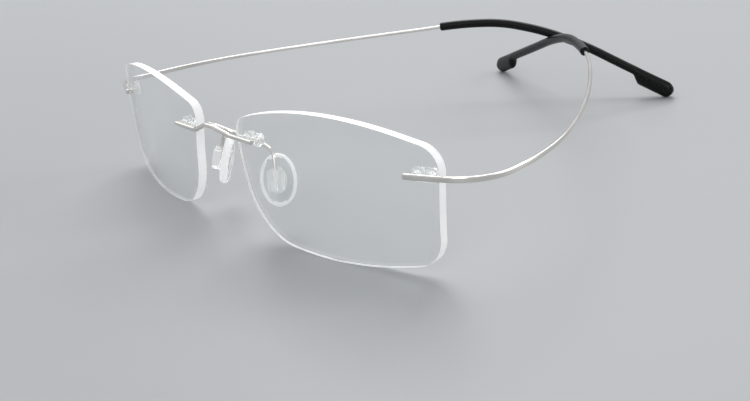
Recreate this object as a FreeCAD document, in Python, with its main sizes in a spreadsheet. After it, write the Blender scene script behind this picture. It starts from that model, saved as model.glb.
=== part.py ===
import FreeCAD, Part
import math
import os

import Sketcher
from FreeCAD import Placement, Rotation, Vector

# Rimless, hingeless eyeglasses: two drilled lenses, a wavy bridge bar with a pair of
# pad arms, clear double bushings, and springy one-piece temples with soft sleeves.
#
# Frame: +X is the wearer's left, +Y points back to the ears, +Z is up, millimetres.
# The glasses stand on the lower edges of the lenses and on the two sleeve paddles.

# alias, value, meaning
SIZES = [
    ("lens_width", 53.2, "lens, nasal edge to temporal edge"),
    ("lens_height", 29.08, "lens, lowest to highest point"),
    ("lens_thickness", 1.8, "lens, front surface to back surface"),
    ("base_radius", 127.0, "lens, radius of the front surface"),
    ("lens_gap", 16.71, "distance between the lenses' front edges at the nose"),
    ("wrap_angle", 10.67, "each lens turns back from the nose by this angle"),
    ("lean_angle", 3.0, "top of each lens leans back by this angle"),
    ("nasal_inset", 4.55, "nasal edge to the middle of its two holes"),
    ("nasal_rise", 6.61, "lens middle to the nasal holes"),
    ("nasal_tilt", 0.51, "left nasal holes higher, and right ones lower, than that"),
    ("outer_inset", 3.66, "temporal edge to the middle of its two holes"),
    ("outer_rise", 5.31, "lens middle to the temporal holes"),
    ("pin_spacing", 3.0, "distance between the two pins of a pair"),
    ("pin_diameter", 0.9, "fixing pin"),
    ("pin_end_gap", 0.4, "pin end to the back of its bushing"),
    ("fit_gap", 0.02, "clearance of each pin and tube in its hole"),
    ("seat_gap", 0.06, "clearance between a lens face and what sits on it"),
    ("bar_stand", 0.31, "nasal tube ends in front of the lens, under the bar"),
    ("bar_gap", "=bar_stand + seat_gap", "lens front to the back of the bridge bar"),
    ("tube_diameter", 1.5, "bushing tube through the lens"),
    ("tube_recess", 0.1, "outer tube end below the front surface"),
    ("plate_length", 5.9, "bushing plate along the pin pair"),
    ("plate_height", 2.8, "bushing plate, up and down"),
    ("plate_thickness", 0.5, "bushing plate"),
    ("hump_diameter", 2.5, "round boss of a bushing"),
    ("hump_height", 0.8, "boss behind the bushing plate"),
    ("bar_diameter", 1.05, "bridge bar"),
    ("bar_overhang", 1.08, "bar beyond its outermost pins"),
    ("bar_arch_rise", 1.7, "middle of the bar above its ends"),
    ("bar_arch_foot", 6.8, "middle of the bar to the foot of the arch"),
    ("bar_arch_top", 1.3, "middle of the bar to the shoulder of the arch"),
    ("bar_bend", 6.0, "bend radius of the arch"),
    ("bar_forward", 0.5, "middle of the bar in front of its ends"),
    ("pin_socket", 0.3, "how far a pin reaches into the bar or the strip"),
    ("arm_diameter", 0.75, "pad arm wire"),
    ("arm_start", 0.3, "middle of the bar to the root of a pad arm"),
    ("arm_braze", 1.2, "length of a pad arm's brazed root"),
    ("arm_bend", 5.6, "largest bend radius of a pad arm"),
    ("rod_above", 6.0, "pad middle to the top of the straight rod"),
    ("rod_below", 1.0, "pad middle to the lower end of the rod"),
    ("pad_side", 10.95, "middle plane to the middle of a pad"),
    ("pad_behind", 5.26, "lens middle back to the middle of a pad"),
    ("pad_level", 10.5, "height of the middle of a pad"),
    ("pad_turn", 47.0, "pad face turned from inwards to backwards"),
    ("pad_lean", 19.0, "pad face tilted down"),
    ("pad_length", 11.0, "nose pad"),
    ("pad_width", 7.7, "nose pad"),
    ("pad_thickness", 1.9, "nose pad"),
    ("pad_edge", 0.7, "rounding of the pad's rim"),
    ("insert_length", 5.6, "hard insert moulded into the pad"),
    ("insert_width", 4.0, "hard insert moulded into the pad"),
    ("insert_depth", 0.7, "hard insert moulded into the pad"),
    ("clip_width", 3.0, "clip that holds the rod"),
    ("clip_length", 4.2, "clip that holds the rod"),
    ("clip_depth", 2.2, "clip that holds the rod"),
    ("rod_behind", 0.65, "back of the pad to the rod's axis"),
    ("clip_round", 0.5, "rounded edges of the clip"),
    ("rod_clearance", 0.05, "running clearance of the rod in the clip"),
    ("strip_height", 1.15, "temple strip at the lens"),
    ("strip_thickness", 0.85, "temple strip at the lens"),
    ("strip_round", 0.3, "rounded edges of the strip"),
    ("strip_overhang", 2.05, "strip beyond its innermost pin"),
    ("strip_reach", 9.6, "temporal pins to the corner of the strip"),
    ("strip_bend", 8.5, "bend radius round the lens edge"),
    ("strip_back", 8.05, "corner of the strip to the flex point"),
    ("strip_flare", 0.69, "flex point further out than the corner of the strip"),
    ("strip_drop", 1.25, "fall from the temporal pins to the flex point"),
    ("knuckle_diameter", 1.3, "rounded root of the moving temple"),
    ("knuckle_clearance", 0.04, "running clearance round the knuckle"),
    ("wire_diameter", 0.8, "temple wire"),
    ("wire_run", 9.0, "plan length of each of the temple's eight runs"),
    ("wire_sag", 0.56, "dip of the wire between lens and ear"),
    ("wire_fall", 0.2, "flex point down to the start of the sleeve"),
    ("sleeve_diameter", 2.1, "soft sleeve"),
    ("sleeve_run", 10.7, "plan length of each of the sleeve's six runs"),
    ("sleeve_fit", 0.01, "clearance between wire and sleeve"),
    ("paddle_width", 4.0, "flattened end of the sleeve, up and down; its top is the tube's"),
    ("paddle_thickness", 2.4, "flattened end of the sleeve, across"),
    ("paddle_length", 9.0, "flattened end, without its round tip"),
    ("paddle_neck", 2.2, "length over which the tube widens into the paddle"),
    ("paddle_edge", 0.8, "rounded edges of the paddle"),
    ("core_short", 4.0, "wire end to the paddle's tip centre"),
    ("origin_back", 51.68, "lens middle back to the origin of the model"),
]

# Roundings of the lens outline, which follow the size of the lens.
LENS_ROUNDINGS = [
    ("crown_radius", "=0.857 * lens_width ^ 2 / lens_height", "middle of the top edge"),
    ("top_outer_radius", "=0.1814 * lens_height", "upper temporal corner"),
    ("low_outer_radius", "=0.229 * lens_height", "lower temporal corner"),
    ("keel_radius", "=1.12 * lens_width ^ 2 / lens_height", "middle of the bottom edge"),
    ("low_inner_radius", "=0.4819 * lens_height", "lower nasal sweep"),
    ("top_inner_radius", "=0.1279 * lens_height", "upper nasal corner"),
]

# Corners of the lens outline as shares of the half width (nose to temple) and the half
# height. The rounding of the same name goes with each one.
LENS_CORNERS = [
    ("top_outer", 1.015, 0.688),
    ("crown", -0.062, 1.192),
    ("top_inner", -1.02, 0.726),
    ("low_inner", -0.865, -0.901),
    ("keel", 0.174, -1.054),
    ("low_outer", 0.941, -0.809),
]

# Plan direction of each run of the temple, in degrees from sideways to straight back
# and on towards the other temple. The two sleeves cross behind the head space, the
# left one in front of and below the right one.
WIRE_HEADINGS = {
    1: [97.4, 109.0, 117.6, 123.2, 126.7, 129.8, 132.8, 136.6],
    -1: [97.7, 108.9, 117.8, 124.0, 128.0, 130.7, 133.2, 136.3],
}
SLEEVE_HEADINGS = {
    1: [142.4, 150.4, 157.7, 162.3, 163.8, 163.9],
    -1: [140.4, 145.7, 151.8, 157.3, 161.0, 163.5],
}
# Share of the whole fall, from the sleeve's start to the paddle's tip, at each run's end.
SLEEVE_FALL = {
    1: [0.029, 0.043, 0.223, 0.485, 0.742, 1.0],
    -1: [-0.038, -0.02, 0.136, 0.381, 0.707, 1.0],
}
WIRE_RUNS = len(WIRE_HEADINGS[1])
# Runs over which the flat strip tapers to the round wire.
TAPER_RUNS = 3

# Where a pad arm bends, as shares of its way across, back and down to the rod.
ARM_ROUTE = [(0.40, 0.19, 0.21), (0.54, 0.94, 0.77)]

SIDES = {1: "left", -1: "right"}

# A cutting tool is made this many times as long as what it cuts.
THROUGH = 3
# Corner rounding of the strip's last section, as a share of its half height.
NEARLY_ROUND = 0.98
# Shortest length that counts as more than nothing.
TINY = 1e-6

doc = FreeCAD.newDocument("Eyeglasses")
sheet = doc.addObject("Spreadsheet::Sheet", "Sizes")
for number, (alias, value, meaning) in enumerate(SIZES + LENS_ROUNDINGS, start=1):
    sheet.set("A%d" % number, meaning)
    sheet.set("B%d" % number, str(value))
    sheet.setAlias("B%d" % number, alias)
doc.recompute()


def size(alias):
    """Value of one driving size, read from the sheet."""
    return float(sheet.get(alias))


parts = {}


def keep(node, feature, placement=None):
    """Register a finished sub-part under the name of its node."""
    feature.Label = node
    if placement is not None:
        feature.Placement = placement
    parts[node] = feature
    return feature


def bind(feature, **formulas):
    """Bind properties of a feature to cells of the sheet."""
    for name, formula in formulas.items():
        feature.setExpression(name, formula)


def shape_feature(name, shape):
    """Document object that carries a shape made with Part's own functions."""
    feature = doc.addObject("Part::Feature", name)
    feature.Shape = shape
    return feature


# ---------------------------------------------------------------- lens positions

def sagitta(reach):
    """Depth of the lens's front surface at a distance from its middle."""
    radius = size("base_radius")
    return radius - math.sqrt(radius ** 2 - reach ** 2)


def lens_placement(side):
    """Front middle of a lens, turned by the wrap and the lean."""
    wrap = math.radians(size("wrap_angle"))
    lean = math.radians(size("lean_angle"))
    half_width = size("lens_width") / 2
    half_height = size("lens_height") / 2
    half_span = half_width * math.cos(wrap) + sagitta(half_width) * math.sin(wrap)
    low_edge = size("lens_thickness") + sagitta(half_height)
    middle = Vector(side * (size("lens_gap") / 2 + half_span), -size("origin_back"),
                    half_height * math.cos(lean) + low_edge * math.sin(lean))
    turn = Rotation(Vector(0, 0, 1), side * size("wrap_angle"))
    back = Rotation(Vector(1, 0, 0), -size("lean_angle"))
    return Placement(middle, turn * back)


def site_placement(side, across, up):
    """Frame on a lens's front surface: +Y is the inward normal, +X runs level."""
    radius = size("base_radius")
    depth = sagitta(math.hypot(across, up))
    nod = math.asin(-up / radius)
    swing = math.asin(side * across / (radius * math.cos(nod)))
    turn = Rotation(Vector(0, 0, 1), math.degrees(swing))
    tip = Rotation(Vector(1, 0, 0), math.degrees(nod))
    on_lens = Placement(Vector(side * across, depth, up), turn * tip)
    return lens_placement(side).multiply(on_lens)


def nasal_across():
    return -(size("lens_width") / 2 - size("nasal_inset"))


def outer_across():
    return size("lens_width") / 2 - size("outer_inset")


def nasal_up(side):
    return size("nasal_rise") + side * size("nasal_tilt")


def nasal_site(side):
    return site_placement(side, nasal_across(), nasal_up(side))


def outer_site(side):
    return site_placement(side, outer_across(), size("outer_rise"))


# ---------------------------------------------------------------- paths and sections

def bent_path(points, radii):
    """Straight runs joined by tangent arcs: one radius for each inner point, 0 for none."""
    edges = []
    start = points[0]
    for before, corner, after, radius in zip(points, points[1:], points[2:], radii):
        toward = (before - corner).normalize()
        away = (after - corner).normalize()
        half = toward.getAngle(away) / 2
        if radius == 0 or math.pi / 2 - half < TINY:
            edges.append(Part.makeLine(start, corner))
            start = corner
            continue
        reach = radius / math.tan(half)
        first = corner + toward * reach
        last = corner + away * reach
        bisector = (toward + away).normalize()
        middle = corner + bisector * (radius / math.sin(half) - radius)
        edges.append(Part.makeLine(start, first))
        edges.append(Part.Arc(first, middle, last).toShape())
        start = last
    edges.append(Part.makeLine(start, points[-1]))
    return edges


def easy_radii(points, share=0.45):
    """Largest comfortable bend at each inner point of a route."""
    radii = []
    for before, corner, after in zip(points, points[1:], points[2:]):
        shorter = min((before - corner).Length, (after - corner).Length)
        turn = (corner - before).getAngle(after - corner)
        radii.append(share * shorter / math.tan(turn / 2) if turn > 1e-4 else 0)
    return radii


def tube(edges, diameter):
    """Round rod along a path."""
    start = edges[0].Vertexes[0].Point
    direction = edges[0].tangentAt(edges[0].FirstParameter)
    ring = Part.Wire([Part.makeCircle(diameter / 2, start, direction)])
    return Part.Wire(edges).makePipeShell([ring], True, False)


def strip_section(point, direction, height, thickness, rounding):
    """Rounded upright rectangle across a path."""
    across = direction.cross(Vector(0, 0, 1)).normalize()
    up = across.cross(direction).normalize()
    wide = thickness / 2 - rounding
    tall = height / 2 - rounding
    diagonal = rounding * math.sqrt(0.5)
    edges = []
    corners = [(wide, tall, 0), (-wide, tall, 1), (-wide, -tall, 2), (wide, -tall, 3)]
    ends = []
    for x, y, quarter in corners:
        first = math.pi / 2 * quarter
        a = (x + rounding * math.cos(first), y + rounding * math.sin(first))
        b = (x + diagonal * (1 if quarter in (0, 3) else -1),
             y + diagonal * (1 if quarter in (0, 1) else -1))
        c = (x + rounding * math.cos(first + math.pi / 2),
             y + rounding * math.sin(first + math.pi / 2))
        ends.append((a, b, c))

    def place(flat):
        return point + across * flat[0] + up * flat[1]

    for index, (a, b, c) in enumerate(ends):
        following = ends[(index + 1) % 4][0]
        edges.append(Part.Arc(place(a), place(b), place(c)).toShape())
        edges.append(Part.makeLine(place(c), place(following)))
    return Part.Wire(edges)


# ---------------------------------------------------------------- lenses

def lens_outline(side):
    """Closed sketch of a lens: six straight edges joined by six tangent arcs."""
    sketch = doc.addObject("Sketcher::SketchObject", "%s_outline" % SIDES[side])
    sketch.Placement = Placement(Vector(0, 0, 0), Rotation(Vector(1, 0, 0), 90))
    half_width = size("lens_width") / 2
    half_height = size("lens_height") / 2
    corners = []
    for name, across, up in LENS_CORNERS:
        corners.append(Vector(side * across * half_width, up * half_height, 0))
    count = len(corners)
    lines = []
    arcs = []
    trims = []
    for index, (name, across, up) in enumerate(LENS_CORNERS):
        corner = corners[index]
        toward = (corners[index - 1] - corner).normalize()
        away = (corners[(index + 1) % count] - corner).normalize()
        half = toward.getAngle(away) / 2
        radius = size(name + "_radius")
        reach = radius / math.tan(half)
        centre = corner + (toward + away).normalize() * (radius / math.sin(half))
        trims.append((corner + toward * reach, corner + away * reach, centre, radius))
    for index in range(count):
        start = trims[index][1]
        end = trims[(index + 1) % count][0]
        lines.append(sketch.addGeometry(Part.LineSegment(start, end)))
    for index in range(count):
        first, last, centre, radius = trims[index]
        turning = side > 0
        begin, finish = (first, last) if turning else (last, first)
        begin_angle = math.atan2(begin.y - centre.y, begin.x - centre.x)
        end_angle = math.atan2(finish.y - centre.y, finish.x - centre.x)
        circle = Part.Circle(centre, Vector(0, 0, 1), radius)
        arcs.append(sketch.addGeometry(Part.ArcOfCircle(circle, begin_angle, end_angle)))
    points = []
    for corner in corners:
        points.append(sketch.addGeometry(Part.Point(corner), True))
    for index, (name, across, up) in enumerate(LENS_CORNERS):
        before = lines[index - 1]
        after = lines[index]
        arc = arcs[index]
        entry, leave = (1, 2) if side > 0 else (2, 1)
        sketch.addConstraint(Sketcher.Constraint("Tangent", before, 2, arc, entry))
        sketch.addConstraint(Sketcher.Constraint("Tangent", after, 1, arc, leave))
        sketch.addConstraint(Sketcher.Constraint("PointOnObject", points[index], 1, before))
        sketch.addConstraint(Sketcher.Constraint("PointOnObject", points[index], 1, after))
        radius = sketch.addConstraint(Sketcher.Constraint("Radius", arc, trims[index][3]))
        sketch.setExpression("Constraints[%d]" % radius, "Sizes.%s_radius" % name)
        level = sketch.addConstraint(
            Sketcher.Constraint("DistanceX", -1, 1, points[index], 1, corners[index].x))
        sketch.setExpression("Constraints[%d]" % level,
                             "Sizes.lens_width / 2 * %g" % (side * across))
        height = sketch.addConstraint(
            Sketcher.Constraint("DistanceY", -1, 1, points[index], 1, corners[index].y))
        sketch.setExpression("Constraints[%d]" % height, "Sizes.lens_height / 2 * %g" % up)
    return sketch


def drill(name, side, across, up, offset):
    """Cylinder that cuts one pin hole, square to the lens surface."""
    hole = doc.addObject("Part::Cylinder", name)
    bind(hole, Radius="Sizes.tube_diameter / 2 + Sizes.fit_gap",
         Height="Sizes.lens_thickness * %d" % THROUGH)
    site = lens_placement(side).inverse().multiply(site_placement(side, across, up))
    stand = Placement(Vector(offset, -size("lens_thickness"), 0),
                      Rotation(Vector(1, 0, 0), -90))
    hole.Placement = site.multiply(stand)
    return hole


def make_lens(side):
    """Slice of a spherical shell inside the outline, with four drilled holes."""
    name = SIDES[side]
    blank = doc.addObject("Part::Extrusion", "%s_blank" % name)
    blank.Base = lens_outline(side)
    blank.DirMode = "Normal"
    blank.Solid = True
    blank.Symmetric = True
    bind(blank, LengthFwd="Sizes.lens_width / 2")
    spheres = []
    for which, formula in (("front", "Sizes.base_radius"),
                           ("back", "Sizes.base_radius - Sizes.lens_thickness")):
        sphere = doc.addObject("Part::Sphere", "%s_%s_sphere" % (name, which))
        bind(sphere, Radius=formula)
        bind(sphere, **{"Placement.Base.y": "Sizes.base_radius"})
        spheres.append(sphere)
    shell = doc.addObject("Part::Cut", "%s_shell" % name)
    shell.Base, shell.Tool = spheres
    disc = doc.addObject("Part::Common", "%s_disc" % name)
    disc.Base = blank
    disc.Tool = shell
    holes = []
    for where, across, up in (("nasal", nasal_across(), nasal_up(side)),
                              ("outer", outer_across(), size("outer_rise"))):
        for number, offset in enumerate((-1, 1), start=1):
            holes.append(drill("%s_%s_drill_%d" % (name, where, number), side, across,
                               up, offset * size("pin_spacing") / 2))
    drills = doc.addObject("Part::Compound", "%s_drills" % name)
    drills.Links = holes
    lens = doc.addObject("Part::Cut", "%s_lens" % name)
    lens.Base = disc
    lens.Tool = drills
    keep("%s_lens" % name, lens, lens_placement(side))


# ---------------------------------------------------------------- bushings and pins

def origin_plane(body, role):
    for feature in body.Origin.OriginFeatures:
        if feature.Role == role:
            return feature


def pair_sketch(body, name, depth, diameter):
    """Two equal circles, one at each pin, at a depth behind the lens's front surface."""
    sketch = body.newObject("Sketcher::SketchObject", name)
    sketch.AttachmentSupport = (origin_plane(body, "XZ_Plane"), [""])
    sketch.MapMode = "FlatFace"
    sketch.setExpression("AttachmentOffset.Base.z", "-(%s)" % depth)
    for place in (-1, 1):
        centre = Vector(place * size("pin_spacing") / 2, 0, 0)
        circle = sketch.addGeometry(Part.Circle(centre, Vector(0, 0, 1), 1))
        sketch.addConstraint(Sketcher.Constraint("PointOnObject", circle, 3, -1))
        reach = sketch.addConstraint(
            Sketcher.Constraint("DistanceX", -1, 1, circle, 3, centre.x))
        sketch.setExpression("Constraints[%d]" % reach,
                             "Sizes.pin_spacing / 2 * %d" % place)
        round_size = sketch.addConstraint(Sketcher.Constraint("Diameter", circle, 2))
        sketch.setExpression("Constraints[%d]" % round_size, diameter)
    return sketch


def plate_sketch(body, name, depth):
    """Slot-shaped outline of a bushing plate."""
    sketch = body.newObject("Sketcher::SketchObject", name)
    sketch.AttachmentSupport = (origin_plane(body, "XZ_Plane"), [""])
    sketch.MapMode = "FlatFace"
    sketch.setExpression("AttachmentOffset.Base.z", "-(%s)" % depth)
    radius = size("plate_height") / 2
    reach = size("plate_length") / 2 - radius
    right = Part.Circle(Vector(reach, 0, 0), Vector(0, 0, 1), radius)
    left = Part.Circle(Vector(-reach, 0, 0), Vector(0, 0, 1), radius)
    right_arc = sketch.addGeometry(Part.ArcOfCircle(right, -math.pi / 2, math.pi / 2))
    top = sketch.addGeometry(Part.LineSegment(Vector(reach, radius, 0),
                                              Vector(-reach, radius, 0)))
    left_arc = sketch.addGeometry(Part.ArcOfCircle(left, math.pi / 2, 3 * math.pi / 2))
    bottom = sketch.addGeometry(Part.LineSegment(Vector(-reach, -radius, 0),
                                                 Vector(reach, -radius, 0)))
    for first, first_end, second, second_end in ((right_arc, 2, top, 1),
                                                 (top, 2, left_arc, 1),
                                                 (left_arc, 2, bottom, 1),
                                                 (bottom, 2, right_arc, 1)):
        sketch.addConstraint(
            Sketcher.Constraint("Tangent", first, first_end, second, second_end))
    sketch.addConstraint(Sketcher.Constraint("PointOnObject", right_arc, 3, -1))
    sketch.addConstraint(
        Sketcher.Constraint("Symmetric", right_arc, 3, left_arc, 3, -1, 1))
    spread = sketch.addConstraint(
        Sketcher.Constraint("DistanceX", left_arc, 3, right_arc, 3, 2 * reach))
    sketch.setExpression("Constraints[%d]" % spread,
                         "Sizes.plate_length - Sizes.plate_height")
    round_size = sketch.addConstraint(Sketcher.Constraint("Radius", right_arc, radius))
    sketch.setExpression("Constraints[%d]" % round_size, "Sizes.plate_height / 2")
    return sketch


PLATE_FRONT = "Sizes.lens_thickness + Sizes.seat_gap"
PLATE_BACK = PLATE_FRONT + " + Sizes.plate_thickness"
BUSHING_BACK = PLATE_BACK + " + Sizes.hump_height"
NASAL_TUBE = "Sizes.lens_thickness + Sizes.seat_gap + Sizes.bar_stand"
OUTER_TUBE = "Sizes.lens_thickness + Sizes.seat_gap - Sizes.tube_recess"


def make_bushing(node, site, tube_length):
    """Clear double bushing: two tubes through the lens, a plate and two round bosses."""
    body = doc.addObject("PartDesign::Body", node + "_body")
    steps = [
        ("plate", plate_sketch(body, node + "_plate_sketch", PLATE_FRONT),
         "Sizes.plate_thickness", True),
        ("bosses", pair_sketch(body, node + "_boss_sketch", PLATE_BACK,
                               "Sizes.hump_diameter"), "Sizes.hump_height", True),
        ("tubes", pair_sketch(body, node + "_tube_sketch", PLATE_FRONT,
                              "Sizes.tube_diameter"), tube_length, False),
    ]
    for name, sketch, length, backwards in steps:
        pad = body.newObject("PartDesign::Pad", node + "_" + name)
        pad.Profile = sketch
        pad.Reversed = backwards
        pad.setExpression("Length", length)
    bore_sketch = pair_sketch(body, node + "_bore_sketch", BUSHING_BACK,
                              "Sizes.pin_diameter + 2 * Sizes.fit_gap")
    bores = body.newObject("PartDesign::Pocket", node + "_bores")
    bores.Profile = bore_sketch
    bores.Type = 1
    bores.Reversed = True
    doc.recompute()
    body.Tip = bores
    keep(node, body, site)


def make_pins(node, sites, stand_off):
    """Titanium pins, from the bar or strip in front to just inside the bushing's back."""
    pins = []
    for site_number, site in enumerate(sites, start=1):
        for number, offset in enumerate((-1, 1), start=1):
            pin = doc.addObject("Part::Cylinder",
                                "%s_%d_%d" % (node, site_number, number))
            bind(pin, Radius="Sizes.pin_diameter / 2",
                 Height="%s + Sizes.%s + Sizes.pin_socket - Sizes.pin_end_gap"
                 % (BUSHING_BACK, stand_off))
            front = -size(stand_off) - size("pin_socket")
            stand = Placement(Vector(offset * size("pin_spacing") / 2, front, 0),
                              Rotation(Vector(1, 0, 0), -90))
            pin.Placement = site.multiply(stand)
            pins.append(pin)
    group = doc.addObject("Part::Compound", node + "_group")
    group.Links = pins
    keep(node, group)


def pin_sockets(site, stand_off):
    """Tools that cut the two blind seats of a pin pair into whatever lies on the lens."""
    depth = size(stand_off) + size("pin_socket") + size("fit_gap")
    radius = size("pin_diameter") / 2 + size("fit_gap")
    sockets = []
    for offset in (-1, 1):
        foot = site.multVec(Vector(offset * size("pin_spacing") / 2, -depth, 0))
        inward = site.Rotation.multVec(Vector(0, 1, 0))
        sockets.append(Part.makeCylinder(radius, depth, foot, inward))
    return Part.makeCompound(sockets)


# ---------------------------------------------------------------- bridge bar

def bar_end(side):
    """Point on the bar's centre line at the middle of a nasal pin pair."""
    forward = size("bar_gap") + size("bar_diameter") / 2
    return nasal_site(side).multVec(Vector(0, -forward, 0))


def bar_middle():
    centre = (bar_end(1) + bar_end(-1)) / 2
    return centre + Vector(0, -size("bar_forward"), size("bar_arch_rise"))


def make_bridge():
    """Round bar with straight ends on the lens fronts and a low arch over the nose."""
    points = []
    for side in (-1, 1):
        level = nasal_site(side).Rotation.multVec(Vector(side, 0, 0))
        end = bar_end(side)
        outermost = end + level * (size("pin_spacing") / 2 + size("bar_overhang"))
        foot = Vector(side * size("bar_arch_foot"), end.y, end.z)
        shoulder = Vector(side * size("bar_arch_top"), bar_middle().y, bar_middle().z)
        stretch = [outermost, foot, shoulder]
        points.extend(stretch if side < 0 else reversed(stretch))
    radii = [size("bar_bend")] * (len(points) - 2)
    bar = tube(bent_path(points, radii), size("bar_diameter"))
    for side in SIDES:
        bar = bar.cut(pin_sockets(nasal_site(side), "bar_gap"))
    keep("bridge_bar", shape_feature("bridge_bar_shape", bar))


# ---------------------------------------------------------------- pad arms and nose pads

def pad_placement(side):
    """Pad frame: +Y faces the nose, +Z runs up the pad."""
    turn = math.radians(size("pad_turn"))
    lean = math.radians(size("pad_lean"))
    face = Vector(-side * math.cos(turn) * math.cos(lean),
                  math.sin(turn) * math.cos(lean), -math.sin(lean))
    up = (Vector(0, 0, 1) - face * face.z).normalize()
    across = face.cross(up)
    middle = Vector(side * size("pad_side"), size("pad_behind") - size("origin_back"),
                    size("pad_level"))
    return Placement(middle, Rotation(across, face, up, "ZXY"))


def rod_depth():
    """Distance from the pad's middle plane back to the rod's axis."""
    return size("pad_thickness") / 2 + size("rod_behind")


def make_pad_arm(side):
    """Wire from the back of the bar, out behind the lens and down into the pad's clip."""
    pad = pad_placement(side)
    top = pad.multVec(Vector(0, -rod_depth(), size("rod_above")))
    bottom = pad.multVec(Vector(0, -rod_depth(), -size("rod_below")))
    behind = (size("bar_diameter") + size("arm_diameter")) / 2 + size("fit_gap")
    root = bar_middle() + Vector(side * size("arm_start"), behind, 0)
    braze_end = root + Vector(side * size("arm_braze"), 0, 0)
    span = top - braze_end
    points = [root, braze_end]
    for across, back, down in ARM_ROUTE:
        points.append(braze_end + Vector(span.x * across, span.y * back, span.z * down))
    points.extend([top, bottom])
    radii = [min(radius, size("arm_bend")) for radius in easy_radii(points)]
    arm = tube(bent_path(points, radii), size("arm_diameter"))
    keep("%s_pad_arm" % SIDES[side], shape_feature("%s_pad_arm_shape" % SIDES[side], arm))


def make_nose_pad(side):
    """Soft oval pad round a hard insert, whose clip turns on the rod of the pad arm."""
    name = SIDES[side]
    place = pad_placement(side)
    half = size("pad_thickness") / 2

    def disc_shape(length, width, low, high):
        ellipse = Part.Ellipse(Vector(0, 0, 0), length / 2, width / 2).toShape()
        ellipse.rotate(Vector(0, 0, 0), Vector(0, 0, 1), 90)
        ellipse.rotate(Vector(0, 0, 0), Vector(1, 0, 0), 90)
        ellipse.translate(Vector(0, low, 0))
        face = Part.Face(Part.Wire([ellipse]))
        return face.extrude(Vector(0, high - low, 0))

    insert = disc_shape(size("insert_length"), size("insert_width"), -half,
                        -half + size("insert_depth"))
    pocket = disc_shape(size("insert_length") + 2 * size("fit_gap"),
                        size("insert_width") + 2 * size("fit_gap"), -half,
                        -half + size("insert_depth") + size("fit_gap"))
    pad = disc_shape(size("pad_length"), size("pad_width"), -half, half)
    pad = pad.makeFillet(size("pad_edge"), [edge for edge in pad.Edges if edge.Closed
                                            and edge.BoundBox.YLength < TINY])
    pad = pad.cut(pocket)
    clip = Part.makeBox(size("clip_width"), size("clip_depth"), size("clip_length"),
                        Vector(-size("clip_width") / 2, -half - size("clip_depth"),
                               -size("clip_length") / 2))
    long_edges = [edge for edge in clip.Edges if edge.BoundBox.ZLength > TINY
                  and edge.BoundBox.YMax < -half - size("clip_depth") / 2]
    clip = clip.makeFillet(size("clip_round"), long_edges)
    bore = Part.makeCylinder(size("arm_diameter") / 2 + size("rod_clearance"),
                             size("clip_length") * 2,
                             Vector(0, -rod_depth(), -size("clip_length")))
    holder = insert.fuse(clip).removeSplitter().cut(bore)
    keep("%s_nose_pad" % name, shape_feature("%s_nose_pad_shape" % name, pad), place)
    keep("%s_pad_clip" % name, shape_feature("%s_pad_clip_shape" % name, holder), place)


# ---------------------------------------------------------------- temples

def strip_offset():
    """Lens front to the middle of the strip's thickness."""
    return size("seat_gap") + size("strip_thickness") / 2


def strip_points(side):
    """Tip of the strip, its corner outside the lens edge and the flex point behind it."""
    site = outer_site(side)
    on_strip = site.multVec(Vector(0, -strip_offset(), 0))
    level = site.Rotation.multVec(Vector(side, 0, 0))
    tip = on_strip - level * (size("pin_spacing") / 2 + size("strip_overhang"))
    corner = on_strip + level * size("strip_reach")
    flex = Vector(corner.x + side * size("strip_flare"), corner.y + size("strip_back"),
                  on_strip.z - size("strip_drop"))
    return tip, corner, flex


def plan_step(side, heading, length):
    angle = math.radians(heading)
    return Vector(side * math.cos(angle), math.sin(angle), 0) * length


def temple_points(side):
    """Route from the flex point to the centre of the paddle's round end."""
    flex = strip_points(side)[2]
    points = [flex]
    for number, heading in enumerate(WIRE_HEADINGS[side], start=1):
        point = points[-1] + plan_step(side, heading, size("wire_run"))
        share = number / WIRE_RUNS
        sag = size("wire_sag") * 4 * share * (1 - share)
        point.z = flex.z - size("wire_fall") * share - sag
        points.append(point)
    start = points[-1]
    landing = landing_height(side, start.z)
    for heading, share in zip(SLEEVE_HEADINGS[side], SLEEVE_FALL[side]):
        point = points[-1] + plan_step(side, heading, size("sleeve_run"))
        point.z = start.z - share * (start.z - landing)
        points.append(point)
    return points


def paddle_drop():
    """Tube axis down to the middle of the paddle, whose top edge is flush with the tube."""
    return (size("paddle_width") - size("sleeve_diameter")) / 2


def landing_height(side, start_height):
    """Height of the tube axis at the tip that sets the paddle's round end on the ground."""
    last_share = SLEEVE_FALL[side][-1] - SLEEVE_FALL[side][-2]
    radius = size("paddle_width") / 2
    landing = radius
    for step in range(20):
        slope = math.atan(last_share * (start_height - landing) / size("sleeve_run"))
        landing = radius + paddle_drop() * math.cos(slope)
    return landing


def temple_path(side):
    """Edges of the whole temple, and how many of them come before the sleeve."""
    points = temple_points(side)
    middle = (points[WIRE_RUNS] + points[WIRE_RUNS + 1]) / 2
    route = points[:WIRE_RUNS + 1] + [middle] + points[WIRE_RUNS + 1:]
    radii = easy_radii(points)
    radii.insert(WIRE_RUNS, 0)
    edges = bent_path(route, radii)
    for number, edge in enumerate(edges):
        if (edge.Vertexes[-1].Point - middle).Length < TINY:
            return edges, number + 1
    raise ValueError("the sleeve's start isn't on the temple's path")


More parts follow.
